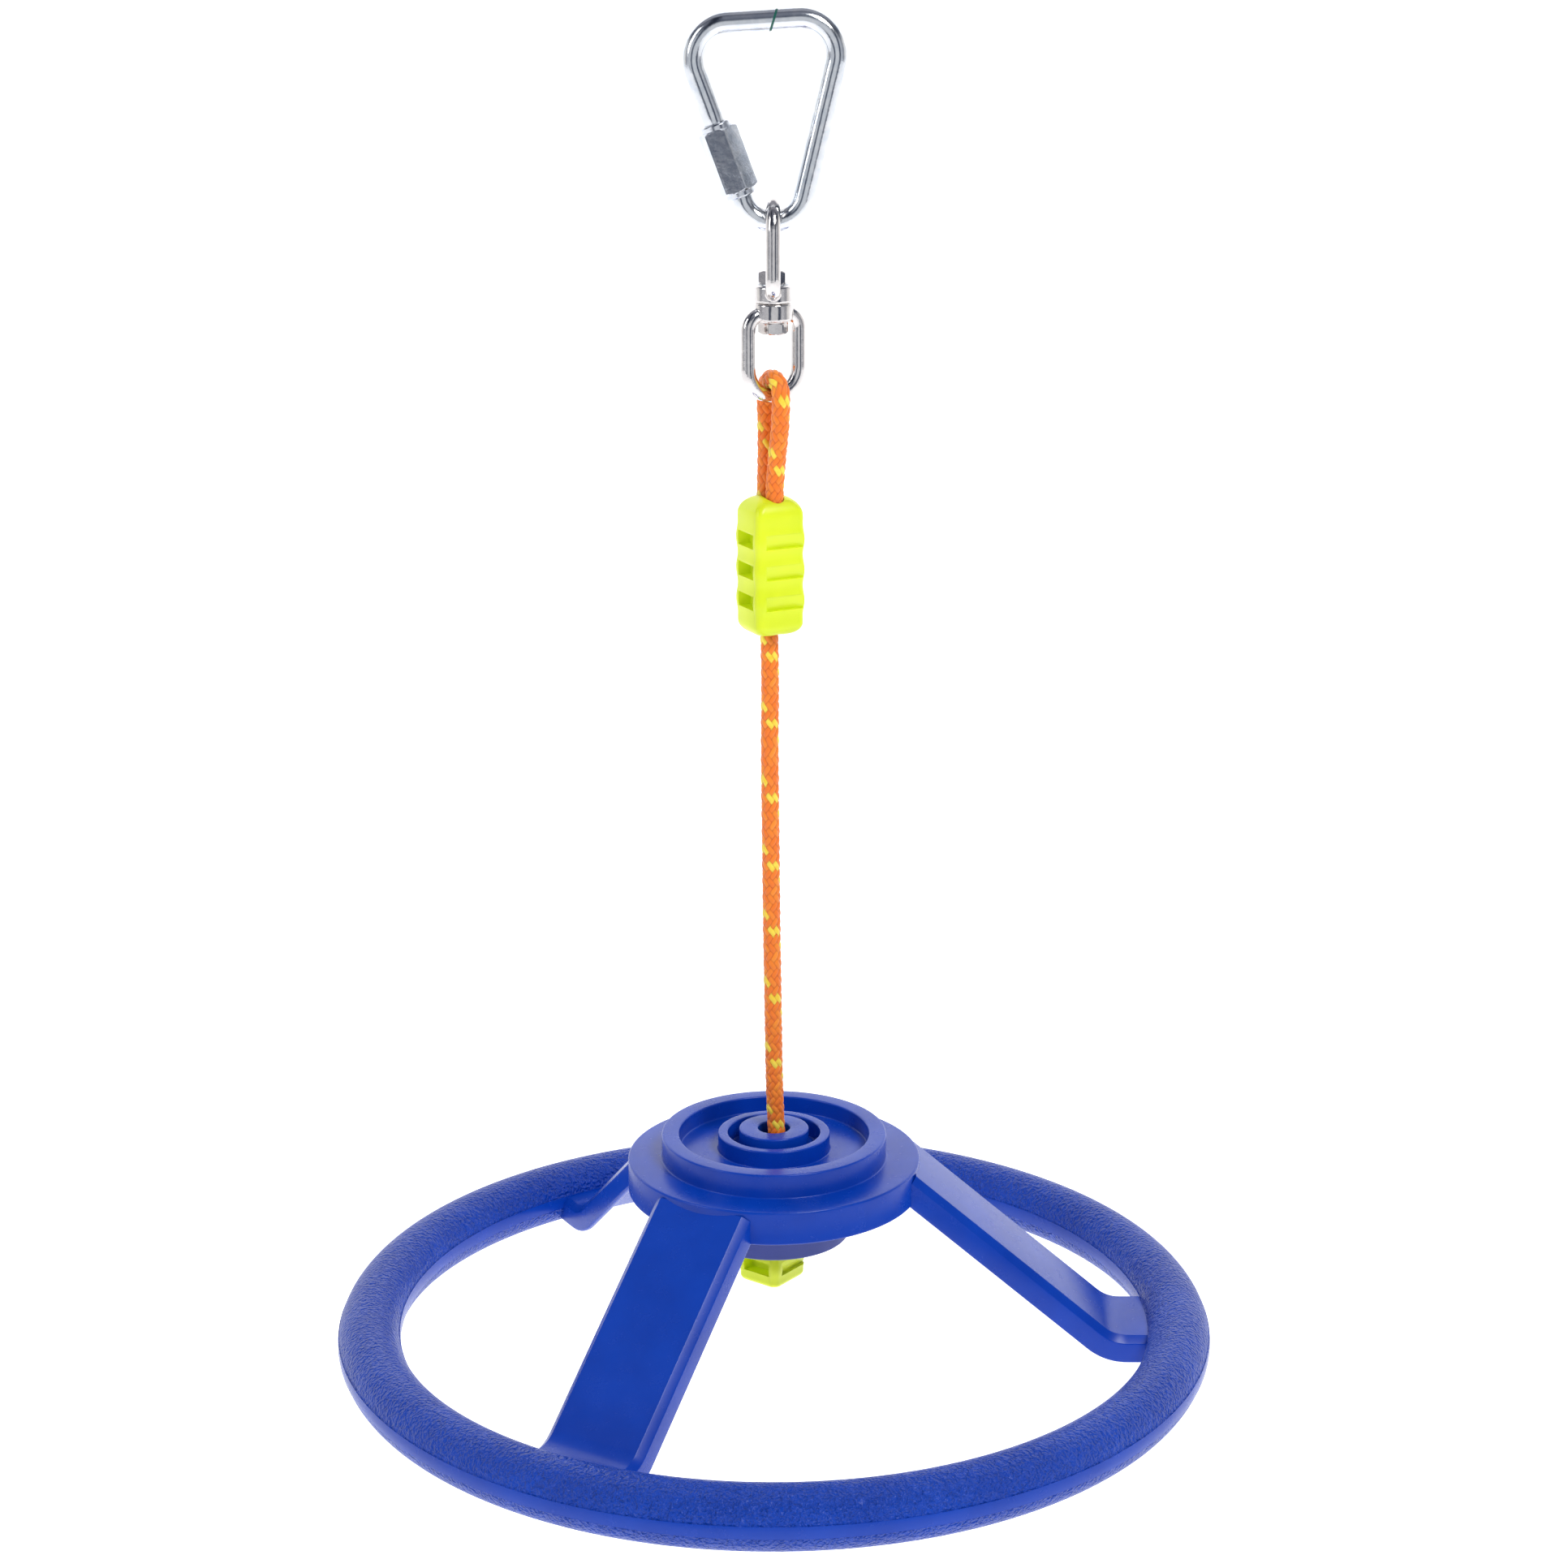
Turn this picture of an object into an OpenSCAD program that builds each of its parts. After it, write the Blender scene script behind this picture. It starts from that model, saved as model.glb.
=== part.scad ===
// Hanging spinning wheel for a play rig: quick link, ball swivel, rope with two connectors, and a three-spoke
// wheel. The origin is the hang point, where the anchor touches the inside of the quick link's top bar. +Z is up.

/* [Quick link] */
// Diameter of the quick link's bar
link_bar_d = 8; // [7:0.5:9]
// Clear height inside the quick link
link_inner_h = 64.5; // [60:0.5:70]
// Width of the quick link over its top corners
link_w = 60; // [56:1:64]
// Centreline radius of the top corners
link_corner_r = 13; // [11:0.5:14]
// Centreline radius of the bottom bend
link_bend_r = 11.5; // [11:0.5:12.5]
// Lean of the link from upright, top to the left, where it rests off its middle
link_lean = 3.5; // [0:0.5:5]
// Length of the sleeve nut
sleeve_l = 28; // [26:0.5:28]
// Width across flats of the sleeve nut
sleeve_af = 13; // [12:0.5:14]
// Turn of the sleeve nut on its leg
sleeve_turn = -10; // [-30:1:30]
// Length of the open gap in the link's left leg, hidden by the closed nut
link_gap = 10; // [8:0.5:11]

/* [Swivel] */
// Diameter of the bar that the two eyes are bent from
eye_bar_d = 5.5; // [5:0.1:6]
// Width over an eye
eye_w = 26.4; // [26:0.1:28]
// Height of the swivel over both eyes
swivel_h = 76.6; // [74:0.1:80]
// Diameter of the housing and the neck
housing_d = 14.4; // [14:0.1:15.5]
// Height of the upper housing
housing_h = 6.8; // [6.5:0.1:7.5]
// Height of the lower neck
neck_h = 6.9; // [6.5:0.1:7.5]
// Gap between the housing and the neck
swivel_gap = 0.3; // [0.2:0.05:0.5]
// Diameter of the swivel bolt
bolt_d = 6; // [6:0.1:6.4]
// Width across flats of the bolt head and nut
bolt_af = 10; // [10:0.1:10.4]
// Turn of the lower eye from the X axis
lower_eye_turn = 27; // [0:1:45]
// Number of balls in the thrust bearing
ball_count = 12; // [8:1:12]

/* [Rope and connectors] */
// Diameter of the rope
rope_d = 7; // [6.5:0.1:7.2]
// Height of a connector
connector_h = 53; // [50:0.5:54]
// Width of a connector's stepped face
connector_w = 20; // [18:0.5:21]
// Width of a connector's windowed face
connector_side_w = 19; // [17:0.5:20]
// Turn of the lower connector from the X axis
lower_turn = 53; // [0:1:90]

/* [Wheel] */
// Diameter over the rim
wheel_d = 350; // [340:1:360]
// Diameter of the rim's tube
rim_tube_d = 25; // [24:0.5:27]
// Drop from the hang point to the middle of the rim
wheel_drop = 509.5; // [505:0.5:512]
// Height of the hub's flange top over the middle of the rim
flange_z = 72; // [70:0.5:74]
// Diameter of the hub's flange
flange_d = 116; // [112:1:120]
// Depth of the hub's skirt under the flange top
skirt_h = 13.5; // [12:0.5:16]
// Outer diameter of the raised collar
collar_d = 89; // [86:1:92]
// Height of the raised collar over the flange
collar_h = 9.8; // [8:0.2:11]
// Diameter of the rope hole in the hub
hub_hole_d = 12.6; // [12:0.1:14]
// Outer diameter of the socket under the hub
socket_d = 60; // [58:1:62]
// Width of a spoke
spoke_w = 42; // [38:1:44]
// Depth of a spoke, square to its slope
spoke_t = 11; // [10:0.5:13]

/* [Hidden] */
$fn = 64;

steel = "#d3d6da";
bright_steel = "#dcdad8";
lime = "#d8ee1c";
blue = "#1f48b4";
orange = "#ff7a1a";

// Quick link: its own frame has the centre of the bottom bend at the origin and the legs in the XZ plane.
link_bar_r = link_bar_d / 2;
link_rise = link_inner_h - (link_bend_r - link_bar_r);
link_pivot_z = -link_rise / cos(link_lean);
corner_x = link_w / 2 - link_bar_r - link_corner_r;
corner_z = link_rise + link_bar_r - link_corner_r;
leg_tilt = atan(corner_x / corner_z)
    + asin((link_corner_r - link_bend_r) / norm([corner_x, corner_z]));
leg_foot = link_bend_r * [-cos(leg_tilt), -sin(leg_tilt)];
leg_head = [-corner_x, corner_z] - link_corner_r * [cos(leg_tilt), sin(leg_tilt)];
leg_l = norm(leg_head - leg_foot);
sleeve_start = leg_l - sleeve_l - 19.6;
gap_start = sleeve_start + 10;
link_draw = 0.04;
link_lap = 0.5;
thread_depth = 0.45;
thread_pitch = 1.25;
thread_count = 6;
thread_reach = thread_count * thread_pitch;
collar_part_h = 2;

// Swivel: levels from the bar of the link down.
eye_bar_r = eye_bar_d / 2;
eye_r = eye_w / 2 - eye_bar_r;
eye_shoulder_r = 6;
eye_play = 0.1;
link_bottom_z = link_pivot_z - link_bend_r;
upper_bend_z = link_bottom_z + link_bar_r + eye_play - (eye_r - eye_bar_r);
swivel_top_z = upper_bend_z + eye_r + eye_bar_r;
swivel_bottom_z = swivel_top_z - swivel_h;
lower_bend_z = swivel_bottom_z + eye_r + eye_bar_r;
housing_top_z = swivel_top_z - 32.1;
housing_bottom_z = housing_top_z - housing_h;
neck_top_z = housing_bottom_z - swivel_gap;
neck_bottom_z = neck_top_z - neck_h;
upper_shoulder_z = housing_top_z + 3;
lower_shoulder_z = neck_bottom_z - 3;
bolt_r = bolt_d / 2;
bolt_play = 0.05;
head_h = 4.5;
head_turn = 12;
nut_h = 5;
nut_turn = 20;
bolt_end = 2.2;
race_h = 1;
race_bore_r = bolt_r + 0.4;
cage_r = 4.6;
cup_r = 6.2;
cup_depth = 4;
ball_d = 1.9;

// Rope and connectors.
lower_bar_z = lower_bend_z - eye_r;
leg_spread = 3.6;
leg_top_z = -143;
leg_low_z = -170;
upper_connector_z = -223.5;
upper_centre = [-1.2, 0, 0];
wheel_z = -wheel_drop;
seat_gap = 0.3;
seat_z = wheel_z + flange_z;
lower_connector_z = seat_z - seat_gap - connector_h;
lower_centre = [-0.8, 0.8, 0];
seam_y = -6.6;
shoulder_r = 7;
end_spare = 10;
upper_low_r = 4.5;
upper_drop = 1.5;
lower_low_r = 2.2;
lower_drop = 6.7;
corner_r = 2.5;
window_w = 12.5;
window_h = 5.5;
window_pitch = 11.8;
connector_wall = 1.6;
recess_start = 3.5;
recess_depth = 1.5;
bore_corner_r = 3.5;

// Wheel.
rim_r = (wheel_d - rim_tube_d) / 2;
plate_h = 3;
flange_top_z = wheel_z + flange_z;
plate_top_z = flange_top_z + plate_h;
collar_top_z = flange_top_z + collar_h;
collar_wall = 6.9;
ring_d = 44.4;
ring_wall = 3.9;
boss_d = 27.6;
boss_top_z = flange_top_z + 11.8;
skirt_wall = 3;
socket_wall = 3;
socket_bottom_z = wheel_z + 39.5;
spoke_start = flange_d / 2 - 1;
spoke_top_z = wheel_z + 69.5;
spoke_knee = 136;
spoke_end = rim_r - rim_tube_d / 2 + 4;
landing_z = wheel_z + 2;
spoke_angle = atan((spoke_top_z - landing_z) / (spoke_knee - spoke_start));
spoke_rail = 3;
spoke_skin = 2.4;

// Rope route: from its tail in the upper connector, over the eye, down through the hub to the fold in the
// lower connector. In the connectors the two legs lie side by side along the connector's own Y axis.
loop_r = eye_bar_r + rope_d / 2 + 0.1;
upper_across = [-sin(lower_eye_turn), cos(lower_eye_turn), 0];
lower_across = [-sin(lower_turn), cos(lower_turn), 0];
function loop_point(a) = upper_across * (loop_r * cos(a)) + [0, 0, lower_bar_z + loop_r * sin(a)];
function leg_lean(z) = max(0, min(1, (leg_top_z - z) / (leg_top_z - leg_low_z)));
function leg_point(s, z) = upper_across * s + upper_centre * leg_lean(z) + [0, 0, z];
function fold_point(s, z) = lower_centre + lower_across * s + [0, 0, z];
rope_tail = [leg_point(-leg_spread, -204), leg_point(-leg_spread, -195), leg_point(-leg_spread, -182),
             leg_point(-leg_spread, leg_low_z), leg_point(-4.3, -156), leg_point(-5.7, leg_top_z)];
rope_loop = [for (a = [180 : -22.5 : 0]) loop_point(a)];
rope_leg = [leg_point(5.7, leg_top_z), leg_point(4.3, -156), leg_point(leg_spread, leg_low_z),
            leg_point(leg_spread, -182), leg_point(leg_spread, -195), leg_point(leg_spread, -206)];
rope_run = [[-2, 2.4, -217], [-1.5, 1.4, -229], [-1.3, 0.6, -244], [-1.4, 0, -262], [-1.4, 0, -280],
            [-1.2, 0, -300], [-1, 0, -320], [-0.8, 0, -340], [-0.5, 0, -360], [-0.2, 0, -380],
            [0.1, 0, -400], [0.6, -0.2, -418], [1.3, -0.7, -432]];
rope_fold = [fold_point(-leg_spread, -445), fold_point(-leg_spread, -458), fold_point(-leg_spread, -470),
             fold_point(-leg_spread, -477), fold_point(-2.5, -479.6), fold_point(0, -480.6),
             fold_point(2.5, -479.6), fold_point(leg_spread, -477), fold_point(leg_spread, -470),
             fold_point(leg_spread, -458), fold_point(leg_spread, -447)];
rope_points = concat(rope_tail, rope_loop, rope_leg, rope_run, rope_fold);
rope_sides = 10;

// A bar bent round in the XZ plane: centreline radius r, from angle a to angle a + turn.
module bent_bar(r, d, a, turn) {
    rotate([90, 0, 0])
        rotate([0, 0, a])
            rotate_extrude(angle = turn)
                translate([r, 0]) circle(d = d);
}

// A straight bar in the XZ plane between two [x, z] points.
module straight_bar(p, q, d) {
    translate([p[0], 0, p[1]])
        rotate([0, atan2(q[0] - p[0], q[1] - p[1]), 0])
            cylinder(d = d, h = norm(q - p));
}

// Puts its children in the leaning link's frame.
module in_link() {
    translate([0, 0, link_pivot_z]) rotate([0, -link_lean, 0]) children();
}

// Puts its children on the left leg, with +Z up the leg from its foot.
module on_leg() {
    in_link() translate([leg_foot[0], 0, leg_foot[1]]) rotate([0, -leg_tilt, 0]) children();
}

// A threaded end: root cylinder with a row of crests, drawn as one turned profile.
module threaded_end() {
    root_r = link_bar_r - thread_depth;
    crests = [for (i = [0 : thread_count - 1]) each [
        [root_r, i * thread_pitch],
        [link_bar_r, (i + 0.35) * thread_pitch],
        [link_bar_r, (i + 0.65) * thread_pitch]]];
    rotate_extrude()
        polygon(concat([[0, 0]], crests, [[root_r, thread_reach], [0, thread_reach]]));
}

// The straight lengths are a hair thinner than the bends and run into them, as the bar is drawn at its bends.
module link_body() {
    straight_d = link_bar_d - link_draw;
    lap = link_lap;
    color(steel) {
        in_link() {
            bent_bar(link_bend_r, link_bar_d, 180 + leg_tilt - lap, 180 - 2 * leg_tilt + 2 * lap);
            straight_bar([-leg_foot[0], leg_foot[1]], [-leg_head[0], leg_head[1]], straight_d);
            translate([corner_x, 0, corner_z])
                bent_bar(link_corner_r, link_bar_d, -leg_tilt - lap, 90 + leg_tilt + 2 * lap);
            straight_bar([-corner_x, corner_z + link_corner_r], [corner_x, corner_z + link_corner_r], straight_d);
            translate([-corner_x, 0, corner_z])
                bent_bar(link_corner_r, link_bar_d, 90 - lap, 90 + leg_tilt + 2 * lap);
        }
        on_leg() {
            cylinder(d = straight_d, h = gap_start - thread_reach);
            translate([0, 0, gap_start - thread_reach]) threaded_end();
            translate([0, 0, gap_start + link_gap]) threaded_end();
            translate([0, 0, gap_start + link_gap + thread_reach])
                cylinder(d = straight_d, h = leg_l - gap_start - link_gap - thread_reach);
        }
    }
}

module link_sleeve_nut() {
    color(steel) on_leg() translate([0, 0, sleeve_start])
        difference() {
            union() {
                translate([0, 0, collar_part_h])
                    rotate([0, 0, sleeve_turn])
                        cylinder(d = sleeve_af / cos(30), h = sleeve_l - 2 * collar_part_h, $fn = 6);
                cylinder(d = sleeve_af - 2, h = sleeve_l);
            }
            translate([0, 0, -1])
                cylinder(r = link_bar_r + bolt_play, h = sleeve_l + 2);
        }
}

// One eye of the swivel in the XZ plane, its bend upwards, its shoulders running into the middle.
module eye(bend_z, shoulder_z) {
    translate([0, 0, bend_z]) bent_bar(eye_r, eye_bar_d, 0, 180);
    for (side = [-1, 1]) {
        straight_bar([side * eye_r, shoulder_z], [side * eye_r, bend_z], eye_bar_d);
        translate([side * (eye_r - eye_shoulder_r), 0, shoulder_z])
            bent_bar(eye_shoulder_r, eye_bar_d, side > 0 ? 270 : 180, 90);
    }
}

// A round neck with a softened edge at one end.
module neck(h, edge) {
    r = housing_d / 2;
    rotate_extrude()
        polygon([[0, 0], [r, 0], [r, h - edge], [r - edge, h], [0, h]]);
}

module swivel_upper_eye() {
    color(bright_steel) difference() {
        union() {
            rotate([0, 0, 90]) eye(upper_bend_z, upper_shoulder_z);
            translate([0, 0, housing_bottom_z]) neck(housing_h, 0.8);
        }
        translate([0, 0, housing_top_z - cup_depth])
            cylinder(r = cup_r, h = cup_depth + bolt_end + nut_h);
        translate([0, 0, housing_bottom_z - 1])
            cylinder(r = bolt_r + bolt_play, h = housing_h);
    }
}

module swivel_lower_eye() {
    color(bright_steel) rotate([0, 0, lower_eye_turn]) difference() {
        union() {
            rotate([180, 0, 0]) eye(-lower_bend_z, -lower_shoulder_z);
            translate([0, 0, neck_top_z]) rotate([180, 0, 0]) neck(neck_h, 0.8);
        }
        translate([0, 0, neck_bottom_z - 1])
            cylinder(r = bolt_r, h = neck_h + 2);
    }
}

module swivel_bolt() {
    shank_top = housing_top_z + nut_h + bolt_end;
    color(bright_steel) {
        translate([0, 0, neck_bottom_z - head_h])
            rotate([0, 0, head_turn])
                cylinder(d = bolt_af / cos(30), h = head_h, $fn = 6);
        translate([0, 0, neck_bottom_z])
            rotate_extrude()
                polygon([[0, 0], [bolt_r, 0], [bolt_r, shank_top - neck_bottom_z - 1.6],
                         [bolt_r - 0.9, shank_top - neck_bottom_z - 0.5], [bolt_r - 1.8, shank_top - neck_bottom_z],
                         [0, shank_top - neck_bottom_z]]);
    }
}

module swivel_nut() {
    color(bright_steel) translate([0, 0, housing_top_z]) difference() {
        rotate([0, 0, nut_turn]) cylinder(d = bolt_af / cos(30), h = nut_h, $fn = 6);
        translate([0, 0, -1]) cylinder(r = bolt_r, h = nut_h + 2);
    }
}

// A flat bearing race with its lower face at z.
module race(z, outer_r, bore_r) {
    translate([0, 0, z]) difference() {
        cylinder(r = outer_r, h = race_h);
        translate([0, 0, -1]) cylinder(r = bore_r, h = race_h + 2);
    }
}

module swivel_top_race() {
    color(bright_steel) race(housing_top_z - race_h, cup_r - 0.1, bolt_r);
}

module swivel_bottom_race() {
    color(bright_steel) race(housing_top_z - cup_depth, cup_r, race_bore_r);
}

module swivel_balls() {
    color(bright_steel)
        for (i = [0 : ball_count - 1])
            rotate([0, 0, i * 360 / ball_count])
                translate([cage_r, 0, housing_top_z - cup_depth / 2])
                    sphere(d = ball_d, $fn = 24);
}

// Ring of points round a route point, square to the route there.
function direction(pts, i) =
    let (a = pts[max(i - 1, 0)], b = pts[min(i + 1, len(pts) - 1)]) (b - a) / norm(b - a);
function ring_point(centre, t, a, r) =
    let (u = cross(t, [1, 0, 0]) / norm(cross(t, [1, 0, 0])), v = cross(t, u)) centre + r * (cos(a) * u + sin(a) * v);

module rope() {
    n = len(rope_points);
    m = rope_sides;
    points = [for (i = [0 : n - 1]) for (k = [0 : m - 1])
        ring_point(rope_points[i], direction(rope_points, i), k * 360 / m, rope_d / 2)];
    sides = [for (i = [0 : n - 2]) for (k = [0 : m - 1])
        [i * m + k, i * m + (k + 1) % m, (i + 1) * m + (k + 1) % m, (i + 1) * m + k]];
    start_cap = [[for (k = [m - 1 : -1 : 0]) k]];
    end_cap = [[for (k = [0 : m - 1]) (n - 1) * m + k]];
    color(orange) polyhedron(points, concat(sides, start_cap, end_cap));
}

// Rectangle with rounded corners, centred.
module rounded(w, h, r) {
    union() {
        square([w - 2 * r, h], center = true);
        square([w, h - 2 * r], center = true);
        for (x = [-1, 1]) for (y = [-1, 1])
            translate([x * (w / 2 - r), y * (h / 2 - r)])
                circle(r = r, $fn = 32);
    }
}

// One recess in a connector's -Y face: flush at its top, deepest at the ledge below, open at its right end.
module recess() {
    translate([-connector_w / 2 + recess_start, -connector_side_w / 2, 0])
        rotate([90, 0, 90])
            linear_extrude(connector_w)
                polygon([[-1, window_h / 2], [0, window_h / 2], [recess_depth, -window_h / 2], [-1, -window_h / 2]]);
}

// A tall block, rounded at its top and bottom, that cuts the ends of a connector: shift sets which end it meets.
module end_block(w, span, r, shift) {
    translate([0, 0, connector_h / 2 + shift])
        rotate([90, 0, 0])
            linear_extrude(span, center = true) rounded(w, connector_h + 2 * end_spare, r);
}

// Whole connector: a block with a domed top and an edge of radius low_r at its bottom, windows in its X faces,
// recesses in its Y faces and a bore that takes two legs of the rope. The windows sit drop below its middle.
module connector(drop, low_r) {
    bore_w = rope_d + 0.3;
    bore_l = rope_d + 2 * leg_spread + 0.3;
    window_depth = (connector_w - bore_w) / 2 - connector_wall;
    w = connector_w;
    side = connector_side_w;
    difference() {
        intersection() {
            linear_extrude(connector_h) rounded(w, side, corner_r);
            end_block(w, side + 2, shoulder_r, -end_spare);
            end_block(w, side + 2, low_r, end_spare);
            rotate([0, 0, 90]) end_block(side, w + 2, shoulder_r, -end_spare);
            rotate([0, 0, 90]) end_block(side, w + 2, low_r, end_spare);
        }
        for (i = [-1, 0, 1])
            translate([0, 0, connector_h / 2 - drop + i * window_pitch]) {
                for (x = [-1, 1])
                    translate([x * (w / 2 + 1 - window_depth / 2), 0, 0])
                        cube([window_depth + 2, window_w, window_h], center = true);
                for (turn = [0, 180])
                    rotate([0, 0, turn]) recess();
            }
        translate([0, 0, -1])
            linear_extrude(connector_h + 2)
                rounded(bore_w, bore_l, bore_corner_r);
    }
}

// The U-shaped body of a connector, open on its -Y side.
module connector_body(drop, low_r) {
    intersection() {
        connector(drop, low_r);
        translate([-connector_w, seam_y, -1])
            cube([2 * connector_w, connector_side_w, connector_h + 2]);
    }
}

// The cover that closes the body's open side.
module connector_cover(drop, low_r) {
    difference() {
        connector(drop, low_r);
        translate([-connector_w, seam_y, -1])
            cube([2 * connector_w, connector_side_w, connector_h + 2]);
    }
}

// Puts its children at the upper or the lower connector.
module at_upper() { translate(upper_centre + [0, 0, upper_connector_z]) rotate([0, 0, lower_eye_turn]) children(); }

module at_lower() { translate(lower_centre + [0, 0, lower_connector_z]) rotate([0, 0, lower_turn]) children(); }

module upper_connector_body() { color(lime) at_upper() connector_body(upper_drop, upper_low_r); }

module upper_connector_cover() { color(lime) at_upper() connector_cover(upper_drop, upper_low_r); }

module lower_connector_body() { color(lime) at_lower() connector_body(lower_drop, lower_low_r); }

module lower_connector_cover() { color(lime) at_lower() connector_cover(lower_drop, lower_low_r); }

// A ring about the Z axis from z0 up to z1.
module tube(outer_r, inner_r, z0, z1) {
    rotate_extrude($fn = 128)
        polygon([[inner_r, z0], [outer_r, z0], [outer_r, z1], [inner_r, z1]]);
}

module hub_plate() {
    step_r = collar_d / 2 - collar_wall;
    color(blue) rotate_extrude($fn = 128)
        polygon([[hub_hole_d / 2, flange_top_z], [step_r, flange_top_z], [step_r, flange_top_z - plate_h],
                 [flange_d / 2, flange_top_z - plate_h], [flange_d / 2, flange_top_z],
                 [collar_d / 2, flange_top_z], [collar_d / 2, plate_top_z], [hub_hole_d / 2, plate_top_z]]);
}

module hub_collar() {
    color(blue) tube(collar_d / 2, collar_d / 2 - collar_wall, plate_top_z, collar_top_z);
}

module hub_ring() {
    color(blue) tube(ring_d / 2, ring_d / 2 - ring_wall, plate_top_z, collar_top_z);
}

module hub_boss() {
    color(blue) tube(boss_d / 2, hub_hole_d / 2, plate_top_z, boss_top_z);
}

module hub_skirt() {
    color(blue) tube(flange_d / 2, flange_d / 2 - skirt_wall, flange_top_z - skirt_h, flange_top_z - plate_h);
}

module hub_socket() {
    color(blue) tube(socket_d / 2, socket_d / 2 - socket_wall, socket_bottom_z, flange_top_z);
}

// Outline of a spoke's side between two depths under its top: down the slope, then level into the rim.
module spoke_side(top, bottom) {
    turn_in = tan(spoke_angle / 2);
    fall = 1 / cos(spoke_angle);
    polygon([[spoke_start, spoke_top_z - top * fall], [spoke_knee - top * turn_in, landing_z - top],
             [spoke_end, landing_z - top], [spoke_end, landing_z - bottom],
             [spoke_knee - bottom * turn_in, landing_z - bottom], [spoke_start, spoke_top_z - bottom * fall]]);
}

module spoke() {
    difference() {
        rotate([90, 0, 0])
            linear_extrude(spoke_w, center = true)
                spoke_side(0, spoke_t);
        rotate([90, 0, 0])
            linear_extrude(spoke_w - 2 * spoke_rail, center = true)
                spoke_side(spoke_skin, spoke_t + 5);
        rim_tube();
        translate([0, 0, flange_top_z - skirt_h - 30])
            cylinder(d = flange_d, h = skirt_h + 60, $fn = 128);
    }
}

module rim_tube() {
    translate([0, 0, wheel_z])
        rotate_extrude($fn = 128)
            translate([rim_r, 0]) circle(d = rim_tube_d);
}

module spoke_right() { color(blue) spoke(); }

module spoke_rear_left() { color(blue) rotate([0, 0, 120]) spoke(); }

module spoke_front_left() { color(blue) rotate([0, 0, 240]) spoke(); }

module rim() { color(blue) rim_tube(); }

link_body();
link_sleeve_nut();
swivel_upper_eye();
swivel_lower_eye();
swivel_bolt();
swivel_nut();
swivel_top_race();
swivel_balls();
swivel_bottom_race();
rope();
upper_connector_body();
upper_connector_cover();
lower_connector_body();
lower_connector_cover();
hub_plate();
hub_collar();
hub_ring();
hub_boss();
hub_skirt();
hub_socket();
spoke_right();
spoke_rear_left();
spoke_front_left();
rim();
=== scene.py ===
import math
import random

import bmesh
import bpy
from mathutils import Matrix, Vector


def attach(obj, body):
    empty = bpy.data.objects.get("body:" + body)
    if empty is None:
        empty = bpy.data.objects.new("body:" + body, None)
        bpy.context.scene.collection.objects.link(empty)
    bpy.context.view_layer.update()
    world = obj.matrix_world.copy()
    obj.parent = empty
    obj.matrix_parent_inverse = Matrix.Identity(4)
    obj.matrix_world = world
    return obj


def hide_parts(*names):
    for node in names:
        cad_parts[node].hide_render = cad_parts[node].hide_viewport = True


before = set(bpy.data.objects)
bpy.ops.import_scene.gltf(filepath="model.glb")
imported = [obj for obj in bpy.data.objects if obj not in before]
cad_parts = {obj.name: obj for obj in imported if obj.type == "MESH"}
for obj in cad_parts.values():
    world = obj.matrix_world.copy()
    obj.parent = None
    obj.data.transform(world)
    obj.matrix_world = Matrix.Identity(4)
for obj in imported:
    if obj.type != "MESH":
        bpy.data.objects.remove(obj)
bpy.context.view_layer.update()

MM = 0.001

# --------------------------------------------------------------------------------------------------
# Sizes, in millimetres, as in the CAD
# --------------------------------------------------------------------------------------------------
WHEEL_Z = -509.5
RIM_R = 162.5
RIM_TUBE_R = 12.5
LINK_LEAN = math.radians(3.5)
LINK_BAR_R = 4.0
LINK_BEND_R = 11.5
LINK_CORNER_R = 13.0
LINK_CORNER = (13.0, 48.0)
LINK_TOP_Z = LINK_CORNER[1] + LINK_CORNER_R
LINK_PIVOT_Z = -(LINK_TOP_Z - LINK_BAR_R) / math.cos(LINK_LEAN)
LEG_TILT = (math.atan(LINK_CORNER[0] / LINK_CORNER[1])
            + math.asin((LINK_CORNER_R - LINK_BEND_R) / math.hypot(*LINK_CORNER)))
EYE_TURN = math.radians(27)
LOWER_TURN = math.radians(53)
EYE_R = 10.45
EYE_BAR_R = 2.75
UPPER_BEND_Z = -72.21
LOWER_BEND_Z = -122.41
LOWER_BAR_Z = LOWER_BEND_Z - EYE_R
HOUSING_TOP_Z = -91.11
ROPE_R = 3.5
LEG_SPREAD = 3.6
UPPER_CENTRE = (-1.2, 0.0)
LOWER_CENTRE = (-0.8, 0.8)
LEG_TOP_Z, LEG_LOW_Z = -143.0, -170.0

# --------------------------------------------------------------------------------------------------
# Camera
# --------------------------------------------------------------------------------------------------
camera_data = bpy.data.cameras.new("camera")
camera_data.lens = 77.1
camera_data.sensor_width = 36.0
camera_data.clip_end = 100.0
camera = bpy.data.objects.new("camera", camera_data)
camera.location = (0.004, -1.2425, 0.0796)
camera.rotation_euler = (math.radians(73.7), 0, 0)
bpy.context.scene.collection.objects.link(camera)
bpy.context.scene.camera = camera
bpy.context.scene.view_settings.view_transform = "Standard"


# --------------------------------------------------------------------------------------------------
# Mesh helpers: every size below is in millimetres and is scaled to metres as the mesh is written
# --------------------------------------------------------------------------------------------------
def add_object(name, vertices, faces, smooth=True, sharp_deg=None):
    mesh = bpy.data.meshes.new(name)
    mesh.from_pydata([Vector(v) * MM for v in vertices], [], faces)
    mesh.validate()
    obj = bpy.data.objects.new(name, mesh)
    bpy.context.scene.collection.objects.link(obj)
    shade(obj, smooth, sharp_deg)
    return obj


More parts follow.
